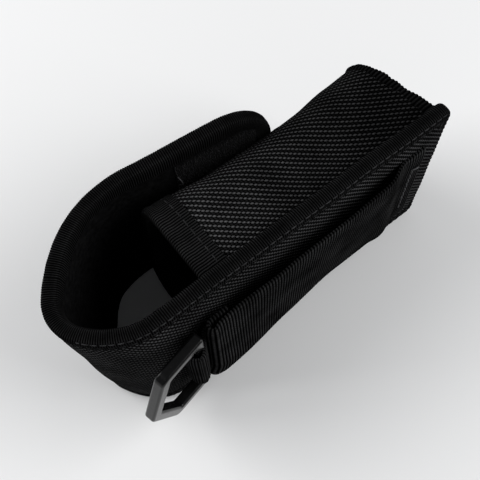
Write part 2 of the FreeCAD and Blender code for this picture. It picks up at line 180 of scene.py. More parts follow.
def loftPiece(name, rings, uvs, material):
    faces = loftFaces(len(rings), len(rings[0]))
    points = [p for ring in rings for p in ring]
    flat = [p for ring in uvs for p in ring]
    return meshPiece(name, points, faces, flat, material)


# materials
class Shader:
    def __init__(self, name):
        self.material = bpy.data.materials.new(name)
        self.material.use_nodes = True
        self.tree = self.material.node_tree
        self.bsdf = self.tree.nodes["Principled BSDF"]

    def node(self, kind, **values):
        made = self.tree.nodes.new(kind)
        for key, value in values.items():
            setattr(made, key, value)
        return made

    def link(self, source, target):
        self.tree.links.new(source, target)

    def feed(self, socket, value):
        if hasattr(value, "links"):
            self.link(value, socket)
        else:
            socket.default_value = value

    def math(self, operation, first, second=None, third=None):
        made = self.node("ShaderNodeMath", operation=operation)
        for socket, value in zip(made.inputs, (first, second, third)):
            if value is not None:
                self.feed(socket, value)
        return made.outputs[0]

    # Cloth coordinates in yarns: the mesh carries them in mm, and a skew leans the yarns over.
    def uv(self, pitchU, pitchV, skew=0.0):
        uv = self.node("ShaderNodeUVMap", uv_map="cloth")
        split = self.node("ShaderNodeSeparateXYZ")
        self.link(uv.outputs[0], split.inputs[0])
        leaned = self.math("MULTIPLY_ADD", split.outputs[1], skew, split.outputs[0])
        return self.math("DIVIDE", leaned, pitchU), self.math("DIVIDE", split.outputs[1], pitchV)

    def noise(self, scale, detail=2.0, rough=0.5, stretch=None):
        place = self.node("ShaderNodeTexCoord")
        source = place.outputs["Object"]
        if stretch is not None:
            mapping = self.node("ShaderNodeMapping")
            mapping.inputs["Scale"].default_value = stretch
            self.link(source, mapping.inputs[0])
            source = mapping.outputs[0]
        made = self.node("ShaderNodeTexNoise")
        self.link(source, made.inputs["Vector"])
        made.inputs["Scale"].default_value = scale
        made.inputs["Detail"].default_value = detail
        made.inputs["Roughness"].default_value = rough
        return made.outputs["Fac"]

    def ramp(self, value, low, high, dark, light):
        made = self.node("ShaderNodeMapRange", clamp=True)
        self.feed(made.inputs["Value"], value)
        made.inputs["From Min"].default_value = low
        made.inputs["From Max"].default_value = high
        made.inputs["To Min"].default_value = dark
        made.inputs["To Max"].default_value = light
        return made.outputs[0]

    # Noise lies mostly between 0.3 and 0.7, and that span is spread from low to high.
    def vary(self, value, low, high):
        return self.ramp(value, 0.3, 0.7, low, high)

    def grey(self, value, tint=(1.0, 1.0, 1.0)):
        made = self.node("ShaderNodeCombineColor")
        for index, part in enumerate(tint):
            self.link(self.math("MULTIPLY", value, part), made.inputs[index])
        return made.outputs[0]

    def bump(self, height, distance):
        made = self.node("ShaderNodeBump")
        self.link(height, made.inputs["Height"])
        made.inputs["Distance"].default_value = distance
        self.link(made.outputs[0], self.bsdf.inputs["Normal"])

    def finish(self, colour, rough, sheen, specular):
        self.link(colour, self.bsdf.inputs["Base Color"])
        self.feed(self.bsdf.inputs["Roughness"], rough)
        self.bsdf.inputs["Sheen Weight"].default_value = sheen
        self.bsdf.inputs["Sheen Roughness"].default_value = 0.4
        self.bsdf.inputs["Specular IOR Level"].default_value = specular
        return self.material


# Plain weave of twisted yarns, in shares of a yarn. The yarns that run along the piece get painted highlights in
# slanted dashes, the others stay dark; a run of painted shade can darken the cloth from one length along it to
# another.
weave = {"wobble": 0.3, "roundness": 0.6, "crown": 0.6, "fibreBump": 0.2, "dashLong": 1.25, "dashEdge": 1.4,
         "patches": (0.65, 1.3), "strands": (0.75, 1.25), "roughSpread": 0.07}


def weaveMaterial(name, pitch, dark, light, depth, rough, skew, crossShare, slim, paintedShade=None):
    s = Shader(name)
    u, v = s.uv(pitch[0], pitch[1], skew)
    wobble = s.math("MULTIPLY_ADD", s.noise(700.0, 2.0), weave["wobble"], -weave["wobble"] / 2)
    u, v = s.math("ADD", u, wobble), s.math("ADD", v, wobble)
    crossing = s.math("ABSOLUTE", s.math("MODULO", s.math("ADD", s.math("FLOOR", u), s.math("FLOOR", v)), 2.0))
    acrossU = s.math("ABSOLUTE", s.math("SINE", s.math("MULTIPLY", u, math.pi)))
    acrossV = s.math("ABSOLUTE", s.math("SINE", s.math("MULTIPLY", v, math.pi)))
    crown, flat = weave["crown"], 1 - weave["crown"]
    cross = s.math("MULTIPLY", s.math("POWER", acrossU, weave["roundness"]),
                   s.math("MULTIPLY_ADD", acrossV, crown, flat))
    along = s.math("MULTIPLY", s.math("POWER", acrossV, weave["roundness"]),
                   s.math("MULTIPLY_ADD", acrossU, crown, flat))
    mix = s.node("ShaderNodeMix")
    s.link(crossing, mix.inputs["Factor"])
    s.link(along, mix.inputs["A"])
    s.link(cross, mix.inputs["B"])
    fibres = s.noise(2600.0, 2.0)
    s.bump(s.math("MULTIPLY_ADD", fibres, weave["fibreBump"], mix.outputs["Result"]), depth * mm)
    share = s.math("MULTIPLY_ADD", crossing, crossShare - 1.0, 1.0)
    localU = s.math("SUBTRACT", s.math("FRACT", u), 0.5)
    localV = s.math("SUBTRACT", s.math("FRACT", v), 0.5)
    sideways = s.math("POWER", s.math("DIVIDE", s.math("SUBTRACT", localU, localV), slim), 2.0)
    lengthways = s.math("POWER", s.math("DIVIDE", s.math("ADD", localU, localV), weave["dashLong"]), 2.0)
    dash = s.math("MAXIMUM", s.math("SUBTRACT", s.math("SUBTRACT", 1.0, sideways), lengthways), 0.0)
    # Painted highlights: the sheen of the yarns goes into the base colour as bright dashes, and the specular stays
    # at nought.
    glint = s.math("MULTIPLY", s.math("POWER", dash, weave["dashEdge"]), share)
    tone = s.math("MULTIPLY_ADD", glint, light - dark, dark)
    patches = s.vary(s.noise(85.0, 3.0), *weave["patches"])
    strands = s.ramp(fibres, 0.35, 0.65, *weave["strands"])
    tone = s.math("MULTIPLY", tone, s.math("MULTIPLY", patches, strands))
    # Painted shade: the cloth darkens from one length along it to another, as the light falls off along the piece.
    if paintedShade:
        start, end, left = paintedShade
        tone = s.math("MULTIPLY", tone, s.ramp(u, start / pitch[0], end / pitch[0], 1.0, left))
    roughness = s.vary(s.noise(1400.0, 1.0), rough - weave["roughSpread"], rough + weave["roughSpread"])
    return s.finish(s.grey(tone, coolTint), roughness, 0.0, 0.0)


# Ribbed tape and webbing: the ribs are in the mesh; here their valleys are painted with shade and their crests with
# highlight, with fine yarns along them.
ribbed = {"valley": 2.6, "ribBump": 1.5, "strandBump": 0.5, "bump": 0.06, "strandTone": 0.45,
          "fibreTone": (0.4, 0.8), "roughSpread": 0.06}


def tapeMaterial(name, pitch, dark, light, yarn, rough, wear=0.3):
    s = Shader(name)
    rib, strand = s.uv(pitch, yarn)
    ribs = s.math("ABSOLUTE", s.math("SINE", s.math("MULTIPLY", rib, math.pi)))
    ribs = s.math("POWER", ribs, ribbed["valley"])
    strands = s.math("ABSOLUTE", s.math("SINE", s.math("MULTIPLY", strand, math.pi)))
    fibres = s.noise(2400.0, 2.0)
    height = s.math("MULTIPLY_ADD", ribs, ribbed["ribBump"], fibres)
    s.bump(s.math("MULTIPLY_ADD", strands, ribbed["strandBump"], height), ribbed["bump"] * mm)
    patches = s.vary(s.noise(140.0, 4.0, 0.6), 1.0 - wear, 1.0 + wear)
    fleck = s.math("MULTIPLY_ADD", strands, ribbed["strandTone"], s.vary(fibres, *ribbed["fibreTone"]))
    # Painted shade and highlight: the tone falls to dark in the rib valleys and is lightest on the crests.
    tone = s.math("MULTIPLY_ADD", s.math("MULTIPLY", ribs, fleck), light - dark, dark)
    roughness = s.vary(s.noise(1100.0, 1.0), rough - ribbed["roughSpread"], rough + ribbed["roughSpread"])
    return s.finish(s.grey(s.math("MULTIPLY", tone, patches), coolTint), roughness, 0.0, 0.0)


# Fuzzy or smooth knitted faces: noise at two scales.
def feltMaterial(name, tone, grain, depth, rough, sheen):
    s = Shader(name)
    coarse = s.noise(grain, 4.0, 0.7)
    fine = s.noise(grain * 3.5, 2.0, 0.6)
    s.bump(s.math("ADD", coarse, s.math("MULTIPLY", fine, 0.5)), depth * mm)
    value = s.math("MULTIPLY", s.ramp(coarse, 0.35, 0.7, 0.5, 1.6), tone)
    return s.finish(s.grey(value, (1.0, 1.0, 1.03)), s.vary(fine, rough - 0.05, rough + 0.05), sheen, 0.0)


# Moulded satin plastic with fine grain and worn, paler streaks.
def ringMaterial(name, tone, rough):
    s = Shader(name)
    grain = s.noise(1800.0, 3.0, 0.6)
    scuffs = s.noise(420.0, 4.0, 0.65, (1.0, 1.0, 0.25))
    s.bump(s.math("MULTIPLY_ADD", scuffs, 0.4, grain), 0.012 * mm)
    value = s.math("MULTIPLY", s.ramp(scuffs, 0.4, 0.75, 0.85, 1.7), tone)
    return s.finish(s.grey(value, coolTint), s.vary(grain, rough - 0.05, rough + 0.08), 0.0, 0.2)


# Pitch of the ribs in each tape and webbing, in mm, for its material and its mesh alike.
ribPitch = {"tape": 0.57, "mouthTape": 0.62, "webbing": 0.86, "tabWebbing": 0.62, "shadedSeamTape": 0.9}
materials = {
    # The pocket's weave carries painted shade that darkens it towards its far end.
    "pocket": weaveMaterial("ballisticNylon", pitch=(0.936, 0.615), dark=0.0003, light=0.085, depth=0.3, rough=0.5,
                            skew=0.26, crossShare=0.1, slim=0.6, paintedShade=(6.0, 62.0, 0.35)),
    "panel": weaveMaterial("panelNylon", pitch=(0.8, 0.92), dark=0.0003, light=0.07, depth=0.26, rough=0.52,
                           skew=0.0, crossShare=0.1, slim=0.7),
    "tape": tapeMaterial("grosgrainTape", ribPitch["tape"], dark=0.0002, light=0.014, yarn=0.45, rough=0.55),
    "mouthTape": tapeMaterial("mouthTape", ribPitch["mouthTape"], dark=0.0002, light=0.021, yarn=0.5, rough=0.55),
    "webbing": tapeMaterial("ribbedWebbing", ribPitch["webbing"], dark=0.0002, light=0.026, yarn=1.5, rough=0.52,
                            wear=0.5),
    "tabWebbing": tapeMaterial("tabWebbing", ribPitch["tabWebbing"], dark=0.0002, light=0.026, yarn=1.2, rough=0.52,
                               wear=0.5),
    # The end seam tape is given a darker tone than the other tapes: painted shade on the end binding, which faces
    # away from the light.
    "shadedSeamTape": tapeMaterial("shadedSeamTape", ribPitch["shadedSeamTape"], dark=0.0003, light=0.007, yarn=0.5, rough=0.6),
    "lining": feltMaterial("liningCloth", tone=0.005, grain=700.0, depth=0.04, rough=0.75, sheen=0.0),
    "fuzz": feltMaterial("fuzzyPatch", tone=0.004, grain=1100.0, depth=0.4, rough=0.85, sheen=0.02),
    "hooks": feltMaterial("hookTufts", tone=0.02, grain=1500.0, depth=0.05, rough=0.5, sheen=0.02),
    "thread": feltMaterial("greyThread", tone=0.075, grain=1500.0, depth=0.05, rough=0.6, sheen=0.02),
    # The thread below is lighter: it paints the highlight line on the panel tape's rounded fold.
    "edgeHighlightThread": feltMaterial("edgeHighlightThread", tone=0.03, grain=1500.0, depth=0.05, rough=0.6, sheen=0.02),
    "darkThread": feltMaterial("blackThread", tone=0.02, grain=1500.0, depth=0.05, rough=0.6, sheen=0.02),
    "ring": ringMaterial("satinPlastic", tone=0.0025, rough=0.2),
}
print("materials made")


# laminate: outer cover and inner lining, in three stretches
stretches = [
    {"key": "panel", "from": laminate["margin"], "to": joins[0], "fold": folds[0],
     "bodies": ("holster", "flap_shoulder")},
    {"key": "crown", "from": joins[0], "to": joins[1], "fold": folds[1],
     "bodies": ("flap_shoulder", "flap_crown")},
    {"key": "flap", "from": joins[1], "to": pathLength - laminate["margin"], "fold": folds[2],
     "bodies": ("flap_crown", "flap_end")},
]
# How far before and after its fold line each stretch's bend weights rise from 0 to 1.
bendRun = {"panel": (-8.0, 8.0), "crown": (-8.0, 9.5), "flap": (-9.5, 12.0)}


# Bakes the piece's transform; bend weights that follow the length along the path are worked out but not used.
def bendWithFlap(piece, stretch, lengths):
    low, high = (stretch["fold"] + offset for offset in bendRun[stretch["key"]])
    start, end = (Vector(sheetPoint(s, width / 2, 0.0)) * mm for s in (low, high))
    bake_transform(piece)
    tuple(start)
    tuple(end)
    weights = np.array([smooth(low, high, s) for s in lengths], np.float32)


def stations(start, end, step):
    count = max(int(round((end - start) / step)), 2)
    return [start + (end - start) * i / count for i in range(count + 1)]


laminateSheet = {"step": 1.4, "across": 30, "outerPuff": 0.55, "innerPuff": 0.35, "crownPower": 5, "fill": 0.5}


def laminateLayer(name, stretch, outer, inner, material, puffOut, puffIn):
    rings, uvs, lengths = [], [], []
    across = laminateSheet["across"]
    for s in stations(stretch["from"], stretch["to"], laminateSheet["step"]):
        inset = cornerInset(s) + laminate["margin"]
        heights = [inset + (width - 2 * inset) * j / across for j in range(across + 1)]
        crown = [1 - abs(2 * j / across - 1) ** laminateSheet["crownPower"] for j in range(across + 1)]
        front = [sheetPoint(s, z, outer - puffOut * c) for z, c in zip(heights, crown)]
        back = [sheetPoint(s, z, inner + puffIn * c) for z, c in zip(heights, crown)]
        rings.append(front + back[::-1])
        uvs.append([(s, z) for z in heights] + [(s, z) for z in heights[::-1]])
        lengths += [s] * (2 * across + 2)
    piece = loftPiece(name, rings, uvs, material)
    bendWithFlap(piece, stretch, lengths)
    return piece


cadPrefixes = {"panel": ("panel",), "crown": ("shoulder",), "flap": ("crown", "flap")}
for stretch in stretches:
    key = stretch["key"]
    cover = laminateLayer(key + "Cover", stretch, 0.0, laminate["cover"], materials["panel"],
                          laminateSheet["outerPuff"], 0.0)
    lining = laminateLayer(key + "Lining", stretch, laminate["cover"], thick, materials["lining"],
                           0.0, laminateSheet["innerPuff"])
    for prefix in cadPrefixes[key]:
        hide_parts(prefix + "_cover", prefix + "_core")
        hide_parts(prefix + "_lining")
print("laminate made")


# edge tape, swept round the cut edge with its ribs
edgeTape = {"step": 0.114, "pitch": ribPitch["tape"], "rib": 0.13, "stitchAt": 2.6, "stitchPull": 0.2,
            "stitchWide": 0.45, "roundSteps": 10, "boxy": 0.62, "sink": 0.02, "slack": 0.05}


# Outline of the tape across the edge: (distance in from the edge, depth, rib share), outside first.
def tapeProfile(outside, inside, thickness, gauge):
    centre = thickness / 2
    radius = centre + gauge
    outerSide, innerSide = [], []

    def pull(a):
        return edgeTape["stitchPull"] * math.exp(-((a - edgeTape["stitchAt"]) / edgeTape["stitchWide"]) ** 2)

    reach = outside - radius
    for share in (1.0, 0.82, 0.6, 0.38, 0.16):
        a = radius + reach * share
        outerSide.append((a, -gauge + pull(a), 0.2 if share == 1.0 else 1.0))
        innerSide.append((a, edgeTape["sink"] + pull(a) / 2))
    for step in range(edgeTape["roundSteps"] + 1):
        angle = math.pi * step / edgeTape["roundSteps"]
        across = math.copysign(abs(math.cos(angle)) ** edgeTape["boxy"], math.cos(angle))
        out = max(math.sin(angle), 0.0) ** edgeTape["boxy"]
        outerSide.append((radius * (1 - out), centre - radius * across, 1.0))
        innerSide.append((radius - centre * out, centre - centre * across))
    for a in (2.8, 3.6, inside - 0.25, inside):
        outerSide.append((a, thickness + gauge - pull(a + 0.7), 0.2 if a == inside else 1.0))
        innerSide.append((a, thickness - edgeTape["sink"]))
    return outerSide, innerSide


# The cut edge of one stretch as (s, z, inward s, inward z), with its rounded corners.
def edgeLine(start, end, corner):
    step = edgeTape["step"]
    sign = 1 if end > start else -1
    straight = abs(end - start) - (corner or 0.0)
    upper = [(start + sign * t, width, 0.0, -1.0) for t in stations(0, straight, step)]
    if corner is None:
        return upper
    line = list(upper)
    hub = end - sign * corner
    quarter = stations(0, math.pi / 2, step / corner)[1:]
    for t in quarter:
        line.append((hub + sign * corner * math.sin(t), width - corner + corner * math.cos(t),
                     -sign * math.sin(t), -math.cos(t)))
    line += [(end, width - corner - t, -sign, 0.0) for t in stations(0, width - 2 * corner, step)[1:]]
    for t in quarter:
        line.append((hub + sign * corner * math.cos(t), corner - corner * math.sin(t),
                     -sign * math.cos(t), math.sin(t)))
    return line + [(s, 0.0, 0.0, 1.0) for s, z, a, b in upper[::-1][1:]]


def sweptTape(name, line, stretch, material):
    outerSide, innerSide = tapeProfile(laminate["outside"], laminate["inside"], thick, laminate["tape"])
    rings, uvs, lengths = [], [], []
    run = 0.0
    centre = thick / 2
    for index, (s, z, inS, inZ) in enumerate(line):
        if index:
            run += math.hypot(s - line[index - 1][0], z - line[index - 1][1])
        ridge = edgeTape["rib"] * (abs(math.sin(math.pi * run / edgeTape["pitch"])) - 0.5)
        ridge += edgeTape["slack"] * softNoise(run, 0.0, 2.3, 8.8)
        ring, flat = [], []
        for a, b, share in outerSide:
            out = -1 if b < centre else 1
            lift = ridge * share
            fromHub = a - centre - laminate["tape"]
            if fromHub < -0.05:  # round the edge, ribs stand away from the middle of the fold
                wide = math.hypot(fromHub, b - centre)
                da, db = lift * fromHub / wide, lift * (b - centre) / wide
            else:
                da, db = 0.0, lift * out
            ring.append(sheetPoint(s + (a + da) * inS, z + (a + da) * inZ, b + db))
            flat.append((run, a * out))
            lengths.append(s + a * inS)
        for a, b in innerSide[::-1]:
            ring.append(sheetPoint(s + a * inS, z + a * inZ, b))
            flat.append((run, a))
            lengths.append(s + a * inS)
        rings.append(ring)
        uvs.append(flat)
    piece = loftPiece(name, rings, uvs, material)
    bendWithFlap(piece, stretch, lengths)
    return piece


# Besides the stitches, a row of light strands sits 0.6 mm in on the panel tape's fold: a painted highlight line.
stitching = {"long": 1.9, "pitch": 2.5, "radius": 0.17, "sides": 6, "highlightPitch": 2.0, "highlightAt": 0.6, "highlightDepth": -0.12,
             "shape": ((0.0, -0.9, 0.5), (0.15, 0.0, 0.9), (0.5, 0.35, 1.0), (0.85, 0.0, 0.9), (1.0, -0.9, 0.5))}


# One stitch: a short thread that dives into the cloth at both ends.
def stitchMesh(ends, up, points, faces, radius):
    first, last = (Vector(end) for end in ends)
    ahead = (last - first).normalized()
    lift = (Vector(up) - ahead * Vector(up).dot(ahead)).normalized()
    side = ahead.cross(lift)
    start, sides = len(points), stitching["sides"]
    for along, rise, share in stitching["shape"]:
        centre = first.lerp(last, along) + lift * rise * radius
        for j in range(sides):
            angle = 2 * math.pi * j / sides
            points.append(centre + (lift * math.sin(angle) + side * math.cos(angle)) * radius * share)
    faces += loftFaces(len(stitching["shape"]), sides, start)


# Stitches along the cut edge, this far in from it and this deep.
def edgeStitches(name, line, stretch, depth, at, material, pitch):
    points, faces, lengths = [], [], []
    run, due = 0.0, 1.0
    for index in range(1, len(line)):
        s, z, inS, inZ = line[index]
        run += math.hypot(s - line[index - 1][0], z - line[index - 1][1])
        if run >= due:
            back = max(index - int(stitching["long"] / edgeTape["step"]), 0)
            other = line[back]
            ends = [sheetPoint(p[0] + at * p[2], p[1] + at * p[3], depth) for p in (other, line[index])]
            inward = pathFrame(s)[1]
            before = len(points)
            stitchMesh(ends, (-inward.x, -inward.y, 0.0), points, faces, stitching["radius"])
            lengths += [s + at * inS] * (len(points) - before)
            due += pitch
    piece = meshPiece(name, points, faces, [(0, 0)] * len(points), material)
    bendWithFlap(piece, stretch, lengths)
    return piece


edgeLines = {
    "panel": [edgeLine(joins[0], 0.0, laminate["panelCorner"])],
    "crown": [edgeLine(joins[0], joins[1], None)],
    "flap": [edgeLine(joins[1], pathLength, laminate["flapCorner"])],
}
edgeLines["crown"].append([(s, 0.0, 0.0, 1.0) for s, z, a, b in edgeLines["crown"][0]])
tapeNodes = {"panel": ("panel_binding",), "crown": ("shoulder_binding",),
             "flap": ("crown_binding", "flap_binding")}
stitchDepth = edgeTape["stitchPull"] - laminate["tape"] - 0.05
for stretch in stretches:
    key = stretch["key"]
    for number, line in enumerate(edgeLines[key]):
        suffix = ("Upper", "Lower")[number] if len(edgeLines[key]) > 1 else ""
        tapePiece = sweptTape(key + "Tape" + suffix, line, stretch, materials["tape"])
        edgeStitches(key + "Stitches" + suffix, line, stretch, stitchDepth, edgeTape["stitchAt"],
                     materials["darkThread"], stitching["pitch"])
        # A row of lighter strands along the tape's rounded fold: a painted highlight line, drawn as thread.
        if key == "panel":
            edgeStitches("panelEdgeHighlightStitches", line, stretch, stitching["highlightDepth"], stitching["highlightAt"],
                         materials["edgeHighlightThread"], stitching["highlightPitch"])
        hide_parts(*tapeNodes[key])
print("edge tape made")


# pocket
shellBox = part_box("pocket_shell")
pocket = {"start": shellBox[0].x / mm - 0.6, "end": shellBox[1].x / mm, "back": faceY + thick - 0.2,
          "front": shellBox[1].y / mm, "low": shellBox[0].z / mm, "high": shellBox[1].z / mm, "corner": 9.0,
          "shell": 1.5, "wall": 2.7, "fill": 0.5, "sideCrown": 0.5, "sag": 0.9, "sagLong": 68.0, "wave": 0.3,
          "waveScale": 13.0, "mouthLean": 2.4, "mouthTuck": 0.6, "mouthRun": (-1.0, 30.0), "endLean": 3.9,
          "endPull": 0.9, "endRun": (45.0, 68.0), "around": 150, "step": 0.8, "sideFlat": 12.4, "frontFlat": 30.5}
# How far the pocket's front stands out along its length.
frontShape = ((0.0, 2.5), (9.0, 1.5), (20.0, 0.4), (36.0, -0.2), (46.0, 0.0), (58.0, 0.8), (66.0, 1.2))


def throughPoints(table, value):
    for (x0, y0), (x1, y1) in zip(table, table[1:]):
        if value <= x1:
            return y0 + (y1 - y0) * smooth(x0, x1, value)
    return table[-1][1]


# Round the pocket's section: p runs from the panel at the low side, over the front, to the high side.
def pocketPoint(x, p, depth):
    c = pocket["corner"]
    along = x - mouthX
    front = pocket["front"] + throughPoints(frontShape, along)
    mid = math.sin(math.pi * min(max(along / pocket["sagLong"], 0.0), 1.0))
    flat = front - c - pocket["back"]
    tall = pocket["high"] - pocket["low"] - 2 * c
    quarter = c * math.pi / 2
    p = p * (2 * flat + 2 * quarter + tall)
    crown = 0.0
    if p < flat:
        y, z, ny, nz = pocket["back"] + p, pocket["low"], 0.0, -1.0
        crown = math.sin(math.pi * p / flat)
    elif p < flat + quarter:
        t = (p - flat) / c
        ny, nz = math.sin(t), -math.cos(t)
        y, z = front - c + c * ny, pocket["low"] + c + c * nz
    elif p < flat + quarter + tall:
        y, z, ny, nz = front, pocket["low"] + c + (p - flat - quarter), 1.0, 0.0
    elif p < flat + 2 * quarter + tall:
        t = (p - flat - quarter - tall) / c
        ny, nz = math.cos(t), math.sin(t)
        y, z = front - c + c * ny, pocket["high"] - c + c * nz
    else:
        y, z, ny, nz = front - c - (p - flat - 2 * quarter - tall), pocket["high"], 0.0, 1.0
        crown = math.sin(math.pi * (p - flat - 2 * quarter - tall) / flat)
    out = crown * (pocket["sideCrown"] - pocket["sag"] * mid) - depth
    out += pocket["wave"] * softNoise(x, p, pocket["waveScale"], 5.5)
    lean = (1 - smooth(*pocket["mouthRun"], along)) * (1 - z / width)
    shift = pocket["mouthTuck"] * max((y - pocket["back"]) / flat, 0.0)
    back = 1 - min(max((y - pocket["back"]) / (front - pocket["back"]), 0.0), 1.0)
    slant = pocket["endLean"] * back - pocket["endPull"] * (1 - back)
    x += slant * smooth(*pocket["endRun"], along) - pocket["mouthLean"] * lean
    return (x, y + ny * out - shift * lean, z + nz * out)


# The sleeve's length round, which its cloth coordinates and the tapes on it follow.
sleeveLength = 2 * pocket["sideFlat"] + 2 * pocket["corner"] * math.pi / 2 + pocket["frontFlat"]


def sleevePiece(name, outer, inner, material):
    around = pocket["around"]
    rings, uvs = [], []
    for x in stations(pocket["start"] + pocket["step"], pocket["end"], pocket["step"]):
        front = [pocketPoint(x, j / around, outer) for j in range(around + 1)]
        back = [pocketPoint(x, j / around, inner) for j in range(around + 1)]
        rings.append(front + back[::-1])
        flat = [(x, sleeveLength * j / around) for j in range(around + 1)]
        uvs.append(flat + flat[::-1])
    piece = loftPiece(name, rings, uvs, material)
    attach(piece, "holster")
    return piece


pocketShell = sleevePiece("pocketShell", 0.0, pocket["shell"], materials["pocket"])
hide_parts("pocket_shell", "pocket_foam")
pocketLining = sleevePiece("pocketLining", pocket["shell"], pocket["wall"], materials["lining"])
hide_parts("pocket_lining")

mouthTape = {"outside": 7.6, "inside": 6.0, "gauge": 0.45, "pitch": ribPitch["mouthTape"], "rib": 0.14,
             "step": 0.124, "stitchAt": 5.4, "stitchRun": (2.0, 4.0), "stitchRise": 0.45}


def rimTape(name, material):
    outerSide, innerSide = tapeProfile(mouthTape["outside"], mouthTape["inside"], pocket["wall"],
                                       mouthTape["gauge"])
    centre = pocket["wall"] / 2
    rings, uvs = [], []
    for run in stations(0.0, sleeveLength, mouthTape["step"]):
        ridge = mouthTape["rib"] * (abs(math.sin(math.pi * run / mouthTape["pitch"])) - 0.5)
        ring, flat = [], []
        for a, b, share in outerSide:
            out = -1 if b < centre else 1
            ring.append(pocketPoint(pocket["start"] + a, run / sleeveLength, b + out * ridge * share))
            flat.append((run, a * out))
        for a, b in innerSide[::-1]:
            ring.append(pocketPoint(pocket["start"] + a, run / sleeveLength, b))
            flat.append((run, a))
        rings.append(ring)
        uvs.append(flat)
    return loftPiece(name, rings, uvs, material)


mouthBinding = rimTape("mouthTape", materials["mouthTape"])
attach(mouthBinding, "holster")
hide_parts("mouth_binding")


def rimStitches(name, material):
    points, faces = [], []
    x, rise, long = pocket["start"] + mouthTape["stitchAt"], mouthTape["stitchRise"], stitching["long"]
    before, after = mouthTape["stitchRun"]
    for run in stations(before, sleeveLength - after, stitching["pitch"]):
        first, last, above = (Vector(pocketPoint(x, (run + t) / sleeveLength, -out))
                              for t, out in ((0.0, rise), (long, rise), (long / 2, 3.0)))
        stitchMesh((first, last), above - first.lerp(last, 0.5), points, faces, stitching["radius"])
    piece = meshPiece(name, points, faces, [(0, 0)] * len(points), material)
    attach(piece, "holster")


rimStitches("mouthStitches", materials["darkThread"])

endCap = {"around": 72, "backPoints": 12, "rounds": 10, "inset": 0.4, "thick": 2.0, "crown": 1.2, "hole": 0.02}


# End panel: the section filled in and slightly crowned, as an inner and an outer face.
def endPanel():
    around, rounds, inset = endCap["around"], endCap["rounds"], endCap["inset"]
    sleeve = around - endCap["backPoints"]  # points round the sleeve; the rest close its open back
    points, uvs = [], []
    middle = Vector(((pocket["back"] + pocket["front"]) / 2, (pocket["low"] + pocket["high"]) / 2))
    first = pocketPoint(pocket["end"], 0.0, inset)
    for level in (0, 1):
        for k in range(rounds + 1):
            share = 1 - k / rounds if k < rounds else endCap["hole"]
            for j in range(around):
                p = pocketPoint(pocket["end"], min(j / sleeve, 1.0), inset)
                if j > sleeve:
                    t = (j - sleeve) / endCap["backPoints"]
                    p = tuple(a + (b - a) * t for a, b in zip(p, first))
                y = middle.x + (p[1] - middle.x) * share
                z = middle.y + (p[2] - middle.y) * share
                x = pocket["end"] + level * (endCap["thick"] + endCap["crown"] * (1 - share ** 3))
                points.append((x, y, z))
                uvs.append((y, z))
    faces = []
    block = (rounds + 1) * around
    for level in (0, 1):
        for k in range(rounds):
            for j in range(around):
                a = level * block + k * around + j
                b = level * block + k * around + (j + 1) % around
                faces.append((a, b, b + around, a + around))
        tip = level * block + rounds * around
        faces.append(tuple(range(tip, tip + around)))
    for j in range(around):
        k = (j + 1) % around
        faces.append((j, k, block + k, block + j))
    return meshPiece("pocketEnd", points, faces, uvs, materials["pocket"])


endPiece = endPanel()
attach(endPiece, "holster")
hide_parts("pocket_end")

endSeam = {"radius": 0.7, "wide": 1.15, "pitch": ribPitch["shadedSeamTape"], "rib": 0.16, "bumps": 0.35, "step": 0.16,
           "sides": 14, "past": 0.7, "sink": 0.25}


def seamRoll():
    rings, uvs = [], []
    sides = endSeam["sides"]
    for run in stations(0.0, sleeveLength, endSeam["step"]):
        ridge = endSeam["rib"] * abs(math.sin(math.pi * run / endSeam["pitch"]))
        ridge += endSeam["bumps"] * softNoise(run, 1.0, 2.1, 2.2)
        ring, flat = [], []
        for j in range(sides):
            angle = 2 * math.pi * j / sides
            reach = 1.0 + ridge / endSeam["radius"]
            x = pocket["end"] + endSeam["past"] + endSeam["wide"] * reach * math.cos(angle)
            depth = endSeam["sink"] - endSeam["radius"] * reach * math.sin(angle)
            ring.append(pocketPoint(x, run / sleeveLength, depth))
            flat.append((run, 4 * math.sin(angle)))
        rings.append(ring)
        uvs.append(flat)
    return loftPiece("endSeam", rings, uvs, materials["shadedSeamTape"])


seam = seamRoll()
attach(seam, "holster")
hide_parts("end_seam_tape")
print("pocket made")


# patches: thin fuzzy plates on the flap's inside and the pocket's front
patch = {"fuzz": 0.22, "grain": 0.9, "edgeRows": 2.0, "half": 0.1, "rise": 0.25}


def patchPiece(name, place, columns, rows):
    front, back, uvs = [], [], []
    for i in range(columns + 1):
        for j in range(rows + 1):
            u, v = i / columns, j / rows
            edge = min(min(u, 1 - u) * columns, min(v, 1 - v) * rows, patch["edgeRows"]) / patch["edgeRows"]
            rough = patch["fuzz"] * noise.noise(Vector((i * patch["grain"], j * patch["grain"], 4.0))) * edge
            front.append(place(u, v, patch["half"] + patch["rise"] * edge + rough))
            back.append(place(u, v, -patch["half"]))
            uvs.append((u * columns, v * rows))
    faces = []
    row = rows + 1
    base = len(front)
    for i in range(columns):
        for j in range(rows):
            a = i * row + j
            faces.append((a, a + 1, a + row + 1, a + row))
            faces.append((base + a, base + a + row, base + a + row + 1, base + a + 1))
    rim = [j for j in range(row)] + [i * row + rows for i in range(1, columns + 1)]
    rim += [columns * row + j for j in range(rows - 1, -1, -1)] + [i * row for i in range(columns - 1, 0, -1)]
    for a, b in zip(rim, rim[1:] + rim[:1]):
        faces.append((a, b, base + b, base + a))
    return meshPiece(name, front + back, faces, uvs * 2, materials["fuzz"])


hookBox = {"inset": 5.0, "long": 22.5, "low": 5.5, "high": 53.0, "cornerSlack": 1.0, "lift": 0.3}


def hookPlace(u, v, lift):
    s = pathLength - hookBox["inset"] - hookBox["long"] * u
    inset = max(cornerInset(s) - hookBox["cornerSlack"], 0.0)
    z = hookBox["low"] + inset + (hookBox["high"] - hookBox["low"] - 2 * inset) * v
    return sheetPoint(s, z, thick + hookBox["lift"] + lift)


